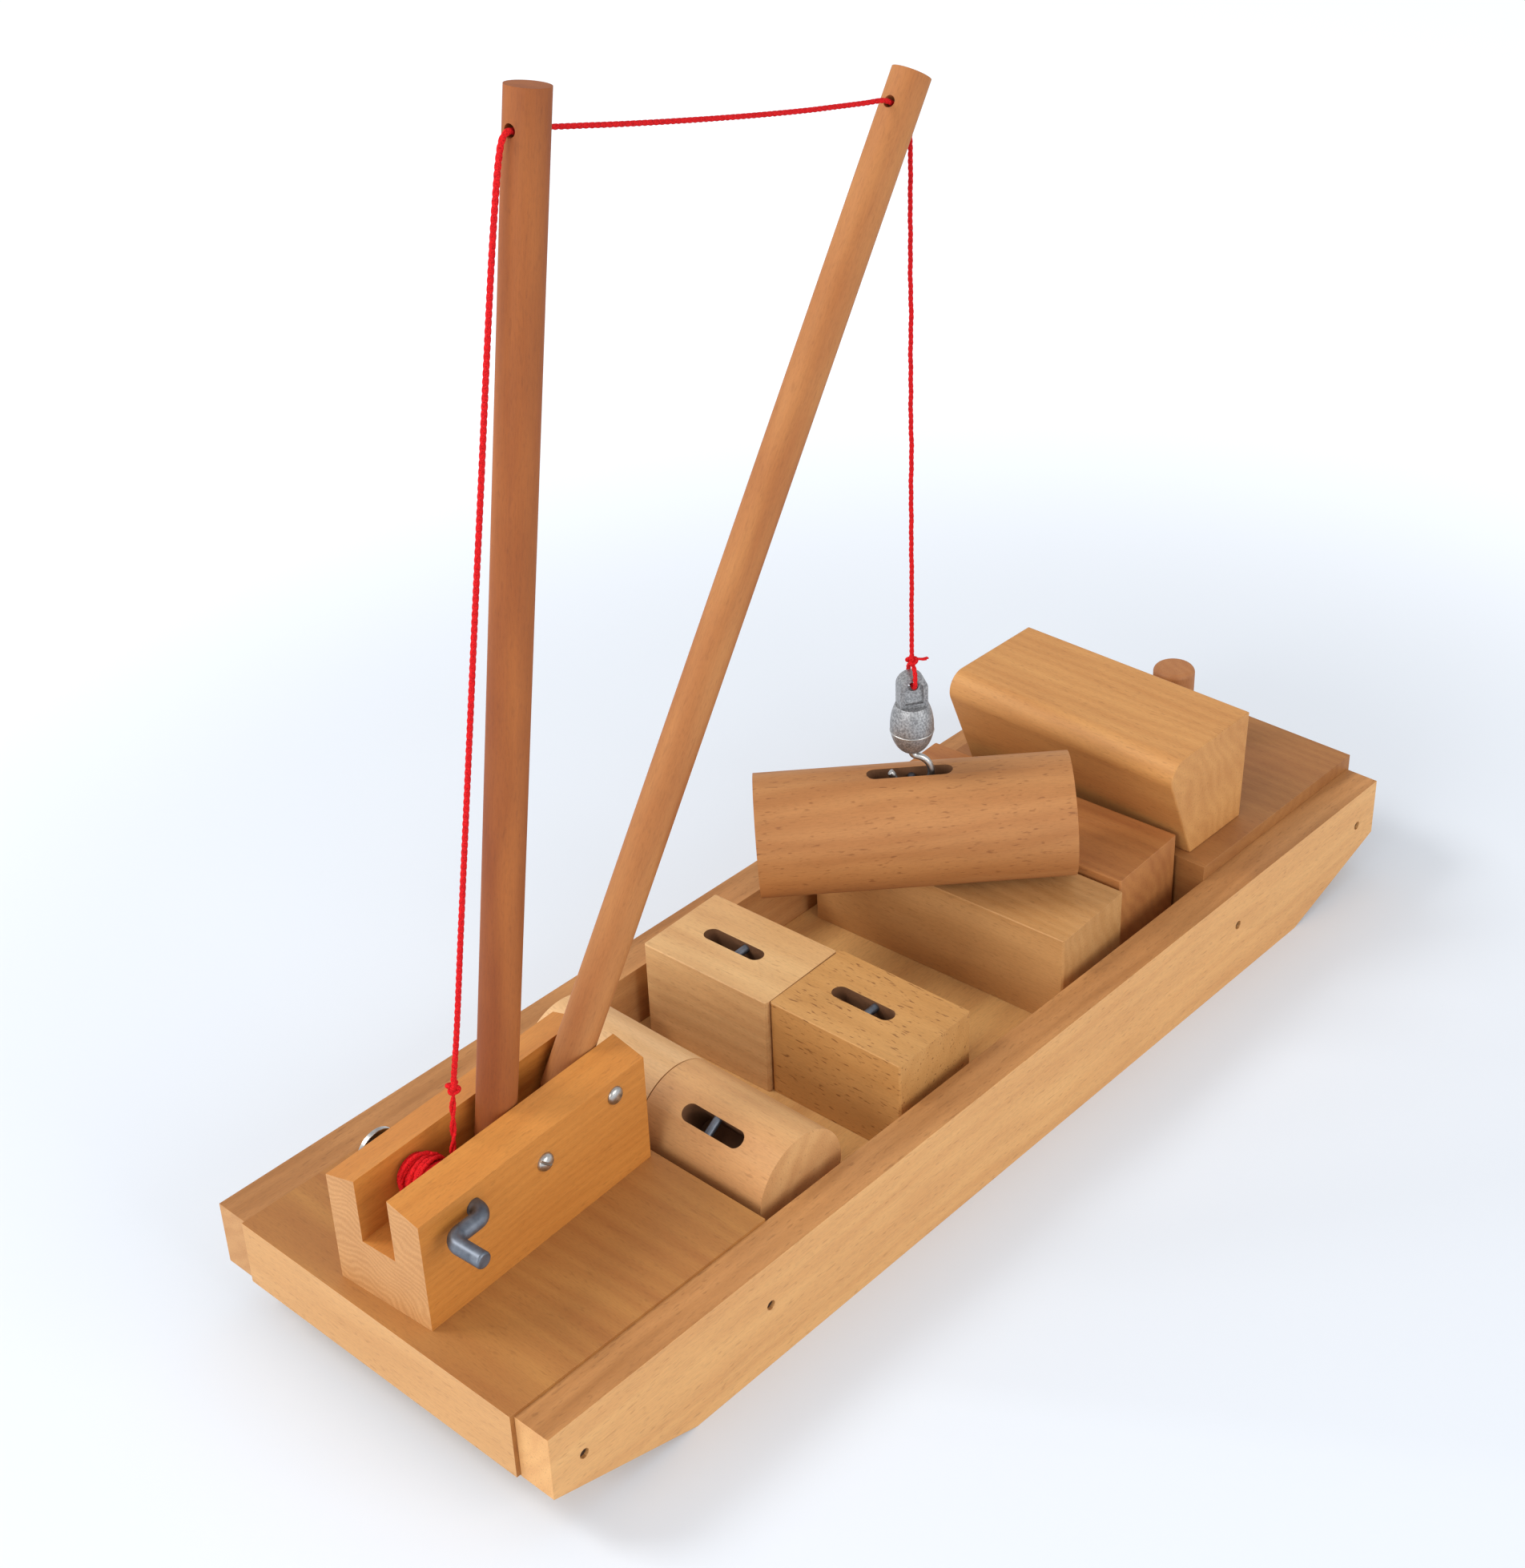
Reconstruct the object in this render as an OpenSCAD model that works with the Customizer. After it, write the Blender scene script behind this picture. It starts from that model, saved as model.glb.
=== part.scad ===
// Wooden toy cargo boat with a working crane, six loose pieces of cargo in its hold and a log on
// its hook. Origin at the middle of the flat bottom, +Z up, bow towards -Y, port side +X.

/* [Hull] */
// Length of the side rails
hull_len = 420; // [400:2:520]
// Thickness of each rail
rail_t = 13; // [9:0.5:18]
// Height of the rails
rail_h = 39; // [34:0.5:44]
// Width of the hold between the rails
hold_w = 116; // [114:1:140]
// Thickness of the bottom board
board_t = 17; // [12:0.5:20]
// Length of the bevel under the bow
bow_bevel = 54; // [30:1:70]
// Length of the bevel under the stern
stern_bevel = 51; // [30:1:70]
// Upright edge left on the bottom board above each bevel
bevel_edge = 0.6; // [0.2:0.1:4]
// Length of the bow block
bow_len = 100; // [97:1:106]
// Height of the bow deck
bow_deck = 40; // [36:0.5:48]
// Length of the stern block
stern_len = 96.8; // [92:0.2:97]
// Height of the stern deck
stern_deck = 44.5; // [40:0.5:52]
// How far each end block stands out past the rails
end_proud = 1.5; // [0:0.1:4]

/* [Nails] */
// Diameter of a nail's shank
nail_d = 1.8; // [1.2:0.1:2.4]
// Length of a nail's shank
nail_len = 30; // [20:1:40]
// Diameter of a nail's head
nail_head_d = 3.2; // [2.6:0.1:4.5]
// Thickness of a nail's head
nail_head_t = 1; // [0.6:0.1:2]
// How deep the heads are set below the rail's face
nail_sink = 1.2; // [0.2:0.1:3]
// Height of the nails
nail_z = 24; // [22:0.5:28]
// Distance of each nail from the near edge of its end block
nail_inset = 12.5; // [8:0.5:20]

/* [Cabin] */
// Width of the cabin
cabin_w = 98; // [70:1:112]
// Length of the cabin at its foot
cabin_foot = 31.4; // [24:0.2:36]
// Height of the cabin above the stern deck
cabin_h = 42.8; // [32:0.2:52]
// Distance from the stern block's front edge to the cabin's foot
cabin_inset = 4.4; // [0:0.2:8]
// How far the cabin's nose reaches forward of its foot
cabin_rake = 14.3; // [8:0.1:16]
// Radius of the cabin's nose
nose_r = 7.1; // [3:0.1:10]
// How far the cabin's back leans aft
cabin_lean = 1.5; // [0:0.1:4]
// Diameter of the funnel
funnel_d = 15.5; // [10:0.5:20]
// Height of the funnel above the stern deck
funnel_h = 32; // [18:0.5:44]
// Radius of the funnel's rounded rim
funnel_rim = 2; // [0.5:0.1:3]
// Distance of the funnel's axis behind the cabin's foot
funnel_back = 27; // [14:0.5:34]
// Depth of the hole in the stern block that the funnel stands in
funnel_seat = 12; // [6:0.5:18]

/* [Crane block] */
// Width of the block that holds the crank, mast and boom
crane_w = 36.5; // [30:0.5:46]
// Length of that block
crane_len = 90.6; // [86:0.2:96]
// Distance of the block from the bow end of the rails
crane_inset = 4.9; // [1:0.1:8]
// Angle by which the block sits askew on the deck
crane_turn = 3.27; // [0:0.01:4]
// Width of the slot along the block
slot_w = 13.1; // [12.6:0.1:15]
// Height of the slot's floor above the bow deck
slot_floor = 19.5; // [15:0.5:20.5]
// Height of the cheeks at the slot
cheek_in = 41.3; // [40:0.1:46]
// Height of the cheeks at their outer edge
cheek_out = 38; // [36.5:0.1:40]

/* [Mast and boom] */
// Diameter of the dowels used for mast and boom
dowel_d = 12; // [10:0.1:12.4]
// Lean of the mast towards the stern
mast_lean = 9.42; // [4:0.01:14]
// Length of the mast above its screw
mast_rise = 297.3; // [240:0.1:340]
// Lean of the boom towards the stern
boom_lean = 32.95; // [30.5:0.01:36]
// Sideways lean of the boom in its loose slot
boom_sway = 0.81; // [0:0.01:1.2]
// Length of the boom above its screw
boom_rise = 305.6; // [270:0.1:330]
// Length of the boom below its screw
boom_foot = 9.4; // [7.5:0.1:10]
// Distance of the mast's screw from the bow end of the block
mast_screw_y = 47.9; // [45:0.1:50]
// Height of the mast's screw above the bow deck
mast_screw_h = 28; // [26.5:0.1:30]
// Distance of the boom's screw from the bow end of the block
boom_screw_y = 77.6; // [74:0.1:79]
// Height of the boom's screw above the bow deck
boom_screw_h = 32.4; // [31.8:0.1:33.5]
// How far aft of each dowel's axis its screw passes
screw_offset = 1.4; // [0:0.1:2]
// Diameter of the screws' shanks
screw_d = 3; // [2.4:0.1:3.6]
// Diameter of the screws' heads
screw_head_d = 6; // [5:0.1:7.5]
// Height of the screws' domed heads
screw_head_h = 2; // [1.2:0.1:2.6]
// Distance of the cord's hole from the top of the mast and from the tip of the boom
cord_hole_down = 10.5; // [8:0.1:14]
// Diameter of the cord's hole
cord_hole_d = 3.6; // [3:0.1:4.4]

/* [Crank] */
// Diameter of the crank's rod
crank_d = 5.2; // [4:0.1:5.6]
// Distance of the crank's axis from the bow end of the block
crank_y = 20.2; // [19.5:0.1:24]
// Height of the crank's axis above the bow deck
crank_h = 31.2; // [30.2:0.1:32]
// Throw of the crank
crank_throw = 13.5; // [10:0.1:15]
// Distance from the cheek to the middle of the crank's arm
crank_out = 4.7; // [4.4:0.1:7]
// Radius of the rod's bends at its middle line
crank_bend = 3.8; // [3.2:0.1:4.2]
// Length of the handle from the middle of the arm
handle_len = 13; // [8:0.5:24]
// Diameter of the push-on cap at the far end of the rod
cap_d = 14.4; // [11:0.1:18]
// Depth of the cap
cap_depth = 1.4; // [1.2:0.1:6]
// Gap between the cheek and the cap's rim
cap_gap = 1.4; // [0.5:0.1:2]
// Sheet thickness of the cap
cap_t = 0.5; // [0.3:0.1:0.8]

/* [Cord] */
// Diameter of the hoisting cord
cord_d = 1.8; // [1.4:0.1:2]
// Radius of the winding at the middle of its cord
wind_r = 6.8; // [6:0.1:7.4]
// Turns in the outer layer of the winding
wind_turns = 3.5; // [2.5:1:4.5]
// Distance from turn to turn
wind_pitch = 2.25; // [2.21:0.01:2.4]
// Diameter of the knots
knot_d = 4.2; // [3:0.1:5]

/* [Hook] */
// Width of the hook weight's flat eye
lug_w = 9.4; // [8:0.1:11]
// Thickness of the eye
lug_t = 6; // [4.5:0.1:7]
// Height of the eye above the egg-shaped body
lug_h = 11.4; // [10:0.1:16]
// Depth of the recess in each face of the eye
lug_recess = 1.2; // [0.4:0.1:1.6]
// Rim left around the recess
lug_rim = 1.6; // [1:0.1:2.2]
// Diameter of the hole in the eye
eye_d = 3.8; // [3:0.1:4.2]
// Distance of that hole below the top of the eye
eye_down = 3.8; // [3.4:0.1:6]
// Diameter of the egg-shaped body
egg_d = 14.6; // [12:0.1:17]
// Height of the body above its widest level
egg_top = 8.3; // [6:0.1:10]
// Height of the body below its widest level
egg_low = 10.3; // [8:0.1:12]
// Diameter of the hook's wire
wire_d = 2.4; // [1.8:0.1:2.8]
// Radius of the hook's bend at the middle of its wire
hook_r = 6.4; // [5.4:0.1:7]
// Direction of the hook and of the log on it
hook_turn = 43.7; // [40:0.1:47]
// Angle of the eye to the hook
lug_turn = 12; // [0:1:30]

/* [Cargo] */
// Diameter of the long log on the hook
long_log_d = 42.5; // [38:0.1:43.6]
// Length of the long log
long_log_len = 106.7; // [96:0.1:108]
// Slope of the long log, its stern end up
long_log_tilt = 2.4; // [2:0.1:6]
// Diameter of the short logs
short_log_d = 36; // [32:0.1:39]
// How much shorter two short logs are than the hold is wide
log_play = 13; // [11:0.5:20]
// How much shorter two crates are than the hold is wide
pair_play = 10; // [9:0.5:18]
// Gap between the bow block and the short logs
log_gap = 3.9; // [1:0.1:8]
// Gap between the short logs and the crates
crate_gap = 20.8; // [4:0.1:23]
// Width of the crates
crate_w = 36; // [30:0.1:38]
// Height of the crates
crate_h = 36; // [32:0.1:39]
// Width of the long boxes
box_w = 36; // [32:0.1:36.6]
// Height of the front long box
front_box_h = 35; // [30:0.1:35.6]
// Height of the rear long box
rear_box_h = 37.3; // [32:0.1:38.4]
// How much shorter the front long box is than the hold is wide
front_play = 10.5; // [8:0.5:20]
// How much shorter the rear long box is than the hold is wide
rear_play = 12; // [11:0.5:20]
// Gap between the rear long box and the stern block
rear_gap = 1.6; // [1:0.1:3]
// Gap between the two long boxes
box_gap = 1.3; // [1:0.1:3]
// Gap between the hanging log and the front long box
hang_gap = 0.5; // [0.5:0.1:20]
// Width of the bevel along the edges of crates and boxes
edge_bevel = 0.6; // [0.4:0.1:3]
// Length of the slot in the long log
long_slot_len = 29; // [26:0.5:32]
// Length of the slot in each other piece of cargo
cargo_slot_len = 24.5; // [22:0.5:28]
// Width of that slot
cargo_slot_w = 6; // [4.8:0.1:6.6]
// Depth of that slot
cargo_slot_depth = 14; // [12:0.5:18]
// Diameter of the steel pin across each slot
pin_d = 2.8; // [2:0.1:3]
// Depth of the pin's axis below the top
pin_down = 2.2; // [1.8:0.1:4]
// Depth of the long log's pin below the top
long_pin_down = 3.8; // [3.4:0.1:4.4]
// How far the pin reaches into the wood on each side of the slot
pin_seat = 1.8; // [1:0.1:2.4]

/* [Hidden] */
$fn = 48;

// Clearances
fit = 0.03;
running = 0.05;
seat_gap = 0.1;
cord_gap = 0.3;
over = 1;

// Hull places
half_len = hull_len / 2;
half_hold = hold_w / 2;
bevel_h = board_t - bevel_edge;
bow_end = -half_len - end_proud;
bow_aft = bow_end + bow_len;
stern_end = half_len + end_proud;
stern_fore = stern_end - stern_len;
cabin_y = stern_fore + cabin_inset;
funnel_y = cabin_y + cabin_foot + funnel_back;
nail_ys = [[bow_end + nail_inset + 1, 0.2], [bow_aft - nail_inset + 0.2, -1],
    [stern_fore + nail_inset - 8.3, -0.5], [stern_end - nail_inset - 0.8, 1]];

// Crane places, in the crane block's own frame: across, along from its bow end, up from the deck
crane_y = -half_len + crane_inset;
half_crane = crane_w / 2;
half_slot = slot_w / 2;
dowel_r = dowel_d / 2;
mast_dir = [0, sin(mast_lean), cos(mast_lean)];
mast_side = [0, cos(mast_lean), -sin(mast_lean)];
mast_foot = [0, mast_screw_y, mast_screw_h] - screw_offset * mast_side;
mast_hole = mast_foot + (mast_rise - cord_hole_down) * mast_dir;
boom_dir = [sin(boom_sway), cos(boom_sway) * sin(boom_lean), cos(boom_sway) * cos(boom_lean)];
boom_side = [0, cos(boom_lean), -sin(boom_lean)];
boom_pivot = [0, boom_screw_y, boom_screw_h] - screw_offset * boom_side;
boom_hole = boom_pivot + (boom_rise - cord_hole_down) * boom_dir;
drop_top = boom_hole + dowel_r * boom_side;

// Cord places
cord_r = cord_d / 2;
core_r = wind_r - cord_r - 0.05;
wind_start = -half_slot + cord_r + 0.35;
wind_end = wind_start + wind_turns * wind_pitch;
wind_out = wind_r + cord_r;
leave_angle = -12;
lead_len = 15;
knot_seat = 5.2;

// Cargo places. The short logs and crates stand off the bow block, the long boxes off the stern
// block, and lengths across the hold follow its width.
floor_z = board_t + seat_gap;
short_log_len = (hold_w - log_play) / 2;
pair_len = (hold_w - pair_play) / 2;
front_box_len = hold_w - front_play;
rear_box_len = hold_w - rear_play;
short_log_y = bow_aft + log_gap + short_log_d / 2;
short_pin_off = -1.5;
short_log_x = [half_hold - short_log_len / 2 - 0.44 * log_play, short_log_len / 2 - half_hold + 0.52 * log_play];
short_log_roll = 34;
crate_turn = 2.3;
crate_reach = crate_w / 2 * cos(crate_turn) + pair_len / 2 * sin(crate_turn);
crate_y = short_log_y + short_log_d / 2 + crate_gap + crate_reach;
crate_place = [[half_hold - pair_len / 2 - 0.45 * pair_play, crate_y + 3.35, crate_turn - 0.6],
    [pair_len / 2 - half_hold + 0.51 * pair_play, crate_y, crate_turn]];
rear_x = -4.1;
rear_turn = 3.2;
rear_reach = box_w / 2 * cos(rear_turn) + rear_box_len / 2 * sin(rear_turn);
rear_y = stern_fore - rear_gap - rear_reach;
front_y = rear_y - box_w - box_gap;
rear_box_place = [rear_x, rear_y, rear_turn];
front_box_place = [-0.8, front_y, 3];

// Height of the hanging log, from its place over the long boxes: its underside clears the front
// box's near edge, or all of that box once its low end is over it, and its high end clears the
// near edge of the rear box
log_r = long_log_d / 2;
log_low = log_r - long_pin_down;
log_mid_x = drop_top[0] * cos(crane_turn) - drop_top[1] * sin(crane_turn) + log_low * sin(long_log_tilt) * cos(hook_turn);
log_mid_y = crane_y + drop_top[0] * sin(crane_turn) + drop_top[1] * cos(crane_turn)
    + log_low * sin(long_log_tilt) * sin(hook_turn);
log_at_edge = max(-long_log_len / 2, (front_y - box_w / 2 - log_mid_y) / sin(hook_turn));
log_over_front = floor_z + front_box_h + hang_gap + log_r / cos(long_log_tilt) - log_at_edge * tan(long_log_tilt);
log_end = [log_mid_x, log_mid_y] + long_log_len / 2 * [cos(hook_turn), sin(hook_turn)];
rear_edge_y = rear_y - box_w / 2 / cos(rear_turn) + (log_end[0] - rear_x) * tan(rear_turn);
rear_off = max(0, min(log_r, (rear_edge_y - log_end[1]) / cos(hook_turn) - 0.3));
log_over_rear = floor_z + rear_box_h + 0.35 + sqrt(log_r * log_r - rear_off * rear_off)
    - long_log_len / 2 * sin(long_log_tilt);
log_mid_z = max(log_over_front, log_over_rear);
long_pin_z = log_mid_z + log_low * cos(long_log_tilt) - bow_deck;

// Hook places, up from the pin to the knot
ring_z = long_pin_z - pin_d / 2 - 0.15 - wire_d / 2 + hook_r;
egg_bottom = ring_z + hook_r + 0.2 + wire_d / 2;
egg_z = egg_bottom + egg_low;
eye_top = egg_z + egg_top + lug_h;
drop_z = eye_top + knot_seat;
drop_len = drop_top[2] - drop_z;
hook_spin = hook_turn - crane_turn;

// Unit vector along v
function unit(v) = v / norm(v);

// Direction of a route at its point i
function heading(p, i) = unit(p[min(i + 1, len(p) - 1)] - p[max(i - 1, 0)]);

// One ring of a tube: its corners lie round the route in the plane square to it
function ring(c, t, r, sides) =
    let (u = unit([1, 0, 0] - t[0] * t), w = cross(t, u))
    [for (k = [0 : sides - 1]) c + r * (cos(360 * k / sides) * u + sin(360 * k / sides) * w)];

// A tube along a route: rings joined by triangles, with a fan at each end
module tube(route, r, sides) {
    n = len(route);
    points = [for (i = [0 : n - 1]) each ring(route[i], heading(route, i), r, sides)];
    walls = [for (i = [0 : n - 2], k = [0 : sides - 1])
        let (a = i * sides + k, b = i * sides + (k + 1) % sides)
        each [[a, a + sides, b + sides], [a, b + sides, b]]];
    first = [for (k = [1 : sides - 2]) [0, k, k + 1]];
    last = [for (k = [1 : sides - 2]) [(n - 1) * sides, (n - 1) * sides + k + 1, (n - 1) * sides + k]];
    polyhedron(points = points, faces = concat(walls, first, last));
}

// Point of the winding at angle a of its helix, and the whole route: an end that goes square into
// the core, the turns, and an end that leaves straight towards the mast
function spoke(a) = [0, cos(a), sin(a)];
function wound(a) = [
    wind_start + wind_pitch * (a - wind_from) / 360,
    crank_y + wind_r * cos(a),
    crank_h + wind_r * sin(a)];
wind_from = leave_angle - 360 * wind_turns;
wind_step = 15;
dive_r = 1.4;
dive_turn = asin(dive_r / (wind_r - dive_r));
dive_mid = [wind_start - 0.15, crank_y, crank_h] + (wind_r - dive_r) * spoke(wind_from);
wind_in = concat(
    [for (q = [1, 0.5]) dive_mid + dive_r * spoke(wind_from - 90 - dive_turn) - q * cord_d * spoke(wind_from - dive_turn)],
    [for (q = [1, 0.8, 0.6, 0.4, 0.2]) dive_mid + [0.15 - 0.15 * q, 0, 0] + dive_r * spoke(wind_from - q * (90 + dive_turn))]);
wind_route = concat(
    wind_in,
    [for (a = [wind_from : wind_step : leave_angle]) wound(a)],
    [for (q = [0.5, 1]) wound(leave_angle) + q * [0.15, 0, 0] + q * cord_d * spoke(leave_angle + 90)]);

// Least distance between two stretches of the winding half a turn or more apart, less the cord
wind_gap = min([for (i = [0 : len(wind_route) - 1], j = [0 : len(wind_route) - 1])
    if (j > i + 12) norm(wind_route[i] - wind_route[j])]) - cord_d;
echo(least_gap_of_winding = wind_gap);

// Routes of the cord's free stretches, chosen by hand in the crane block's frame
riser_route = [
    [2.2, 28.4, 36], [2.2, 29.4, 41], [2, 30.6, 50], [1.9, 31.9, 57.5], [1.8, 36, 76], [1.6, 41.5, 104],
    [1.4, 47.5, 134], [1.1, 53.8, 165], [0.9, 60, 196], [0.6, 66.4, 227], [0.4, 72.4, 257],
    [0.2, 78, 284], [0, 82, 301], [0, 83.6, 307], [0, 85, 310.5], [0, 87, 312], [0, 89.5, 311.6],
    [0, 93, 311]];
span_route = [
    [0, 94, 310.9], [0, 98, 310.2], [0, 102, 309.4], [0.4, 112, 307.2], [0.9, 126, 304.1],
    [1.4, 142, 300.7], [1.9, 160, 297], [2.5, 178, 293.5], [3.1, 196, 290.2], [3.6, 210, 287.9],
    [3.9, 221, 286.1], [4.1, 228.5, 285], [4.2, 232, 283.8], [4.2, 236, 281.3]];

// Frame of the crane block on the bow deck
module on_deck() {
    translate([0, crane_y, bow_deck]) rotate([0, 0, crane_turn]) children();
}

// Frame of the hook: along the line of the drop, turned to the log's direction
module on_hook() {
    on_deck() translate([drop_top[0], drop_top[1], 0]) rotate([0, 0, hook_spin]) children();
}

// Side outline of the hull between two heights, extruded across
module hull_slab(x, t, low, high) {
    translate([x, 0, 0]) rotate([90, 0, 90]) linear_extrude(t) polygon([
        [-half_len, bevel_h], [-half_len + bow_bevel, low], [half_len - stern_bevel, low],
        [half_len, bevel_h], [half_len, high], [-half_len, high]]);
}

// The two rows of nails, as holes or as nails
module nail_rows(grow, top) {
    for (side = [-1, 1], y = nail_ys)
        translate([side * (half_hold + rail_t - nail_sink), y[0], nail_z + y[1]]) rotate([0, -90 * side, 0]) {
            cylinder(h = nail_len, r = nail_d / 2 + grow, $fn = 24);
            translate([0, 0, -top]) cylinder(h = top + nail_head_t, r = nail_head_d / 2 + grow, $fn = 24);
        }
}

module bottom_board() {
    color("peru") difference() {
        hull_slab(-half_hold, hold_w, 0, board_t);
        nail_rows(fit, over);
    }
}

module bow_block() {
    color("sandybrown") difference() {
        translate([-half_hold, bow_end, board_t]) cube([hold_w, bow_len, bow_deck - board_t]);
        nail_rows(fit, over);
    }
}

module stern_block() {
    color("sandybrown") difference() {
        translate([-half_hold, stern_fore, board_t]) cube([hold_w, stern_len, stern_deck - board_t]);
        nail_rows(fit, over);
        translate([0, funnel_y, stern_deck - funnel_seat]) cylinder(h = funnel_seat + over, r = funnel_d / 2 + fit);
    }
}

module rail(side) {
    difference() {
        hull_slab(side > 0 ? half_hold : -half_hold - rail_t, rail_t, 0, rail_h);
        nail_rows(fit, nail_sink + over);
    }
}

module rail_port() {
    color("burlywood") rail(1);
}

module rail_starboard() {
    color("burlywood") rail(-1);
}

module rail_nails() {
    color("dimgray") nail_rows(0, 0);
}

// Side outline of the cabin, its front leaning out over the hold to a round nose
module cabin() {
    nose_z = cabin_h - nose_r;
    color("chocolate") translate([-cabin_w / 2, cabin_y, stern_deck]) rotate([90, 0, 90])
        linear_extrude(cabin_w) union() {
            translate([nose_r - cabin_rake, nose_z]) circle(r = nose_r, $fn = 64);
            polygon([
                [0, 0], [cabin_foot, 0], [cabin_foot + cabin_lean, cabin_h], [nose_r - cabin_rake, cabin_h],
                [nose_r - cabin_rake, nose_z], [-cabin_rake + 0.35, nose_z - 2.2]]);
        }
}

module funnel() {
    flat_r = funnel_d / 2 - funnel_rim;
    color("burlywood") translate([0, funnel_y, stern_deck - funnel_seat]) rotate_extrude() union() {
        square([funnel_d / 2, funnel_seat + funnel_h - funnel_rim]);
        square([flat_r, funnel_seat + funnel_h]);
        translate([flat_r, funnel_seat + funnel_h - funnel_rim]) intersection() {
            circle(r = funnel_rim);
            square(funnel_rim);
        }
    }
}

module crane_block() {
    color("peru") on_deck() difference() {
        translate([0, crane_len, 0]) rotate([90, 0, 0]) linear_extrude(crane_len) polygon([
            [-half_crane, 0], [half_crane, 0], [half_crane, cheek_out], [half_slot, cheek_in],
            [half_slot, slot_floor], [-half_slot, slot_floor], [-half_slot, cheek_in],
            [-half_crane, cheek_out]]);
        translate([-crane_w, crank_y, crank_h]) rotate([0, 90, 0]) cylinder(h = 2 * crane_w, r = crank_d / 2 + running);
        for (p = [[mast_screw_y, mast_screw_h], [boom_screw_y, boom_screw_h]])
            translate([-half_crane + 3, p[0], p[1]]) rotate([0, 90, 0])
                cylinder(h = 2 * crane_w, r = screw_d / 2 + fit, $fn = 32);
    }
}

// A dowel from its foot, with its edge rounded by nose, to its top along its lean, with the cord's
// hole near the top
module dowel(pivot, lean, sway, low, high, nose) {
    translate(pivot) rotate([-lean, 0, 0]) rotate([0, sway, 0]) difference() {
        rotate_extrude() {
            translate([0, nose - low]) square([dowel_r, low + high - nose]);
            translate([0, -low]) square([dowel_r - nose, low + high]);
            intersection() {
                translate([dowel_r - nose, nose - low]) circle(r = nose, $fn = 48);
                translate([0, -low]) square([dowel_r, low]);
            }
        }
        translate([0, 0, high - cord_hole_down]) rotate([90, 0, 0])
            cylinder(h = 2 * dowel_d, r = cord_hole_d / 2, center = true, $fn = 32);
    }
}

module mast() {
    color("burlywood") on_deck() difference() {
        dowel(mast_foot, mast_lean, 0, 2 * dowel_d, mast_rise, 0.5);
        translate([-dowel_d, 0, 0]) cube([2 * dowel_d, crane_len, slot_floor]);
        translate([0, mast_screw_y, mast_screw_h]) rotate([0, 90, 0])
            cylinder(h = crane_w, r = screw_d / 2 + fit, center = true, $fn = 32);
    }
}

module boom() {
    color("burlywood") on_deck() difference() {
        dowel(boom_pivot, boom_lean, boom_sway, boom_foot, boom_rise, 0.75 * dowel_r);
        translate([0, boom_screw_y, boom_screw_h]) rotate([0, 90, 0])
            cylinder(h = crane_w, r = screw_d / 2 + running, center = true, $fn = 32);
    }
}

// A domed screw from the port cheek into the starboard one
module screw(y, h) {
    on_deck() translate([half_crane, y, h]) rotate([0, 90, 0]) {
        translate([0, 0, 3.2 - crane_w]) cylinder(h = crane_w - 3.2, r = screw_d / 2, $fn = 32);
        rotate_extrude() intersection() {
            square([screw_head_d / 2, screw_head_h]);
            translate([0, screw_head_h - head_r]) circle(r = head_r, $fn = 96);
        }
    }
}

// Radius of the dome that meets the cheek at the head's rim
head_r = (screw_head_d * screw_head_d / 4 + screw_head_h * screw_head_h) / (2 * screw_head_h);

module mast_screw() {
    color("silver") screw(mast_screw_y, mast_screw_h);
}

module boom_screw() {
    color("silver") screw(boom_screw_y, boom_screw_h);
}

// A quarter bend of the crank's rod in the plane of its first two axes
module bend() {
    rotate_extrude(angle = 90) translate([crank_bend, 0]) circle(r = crank_d / 2);
}

module crank() {
    arm_x = half_crane + crank_out;
    inner_x = -half_crane - cap_gap - cap_depth + cap_t;
    color("slategray") on_deck() translate([0, crank_y, crank_h]) {
        translate([inner_x, 0, 0]) rotate([0, 90, 0]) cylinder(h = arm_x - crank_bend - inner_x, r = crank_d / 2);
        translate([arm_x - crank_bend, -crank_bend, 0]) bend();
        translate([arm_x, -crank_throw + crank_bend, 0]) rotate([-90, 0, 0])
            cylinder(h = crank_throw - 2 * crank_bend, r = crank_d / 2);
        translate([arm_x + crank_bend, crank_bend - crank_throw, 0]) rotate([0, 0, 180]) bend();
        translate([arm_x + crank_bend, -crank_throw, 0]) rotate([0, 90, 0])
            cylinder(h = handle_len - crank_bend, r = crank_d / 2);
    }
}

// Push-on cap: a shallow cup with a hub that grips the rod
module axle_cap() {
    color("silver") on_deck() translate([-half_crane - cap_gap, crank_y, crank_h]) rotate([0, -90, 0])
        rotate_extrude() difference() {
            union() {
                translate([cap_d / 2 - cap_t, 0]) square([cap_t, cap_depth]);
                translate([0, cap_depth - cap_t]) square([cap_d / 2, cap_t]);
                translate([crank_d / 2 + fit, 0.2]) square([1.2, cap_depth - 0.2]);
            }
            translate([0, -over]) square([crank_d / 2 + fit, over + cap_depth - cap_t + fit]);
        }
}

// Inner layers of the wound cord
module cord_core() {
    color("firebrick") on_deck() translate([-half_slot + 0.4, crank_y, crank_h]) rotate([0, 90, 0]) difference() {
        cylinder(h = slot_w - 1.6, r = core_r);
        translate([0, 0, -over]) cylinder(h = slot_w + 2 * over, r = crank_d / 2 + fit);
    }
}

module cord_winding() {
    color("red") on_deck() tube(wind_route, cord_r, 6);
}

module cord_riser() {
    color("red") on_deck() tube(riser_route, cord_r, 8);
}

module riser_knot() {
    color("red") on_deck() translate(riser_route[3]) sphere(d = knot_d, $fn = 32);
}

module cord_span() {
    color("red") on_deck() tube(span_route, cord_r, 8);
}

module cord_drop() {
    color("red") on_deck() translate([drop_top[0], drop_top[1], drop_z + lead_len])
        cylinder(h = drop_len - lead_len, r = cord_r, $fn = 24);
}

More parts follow.
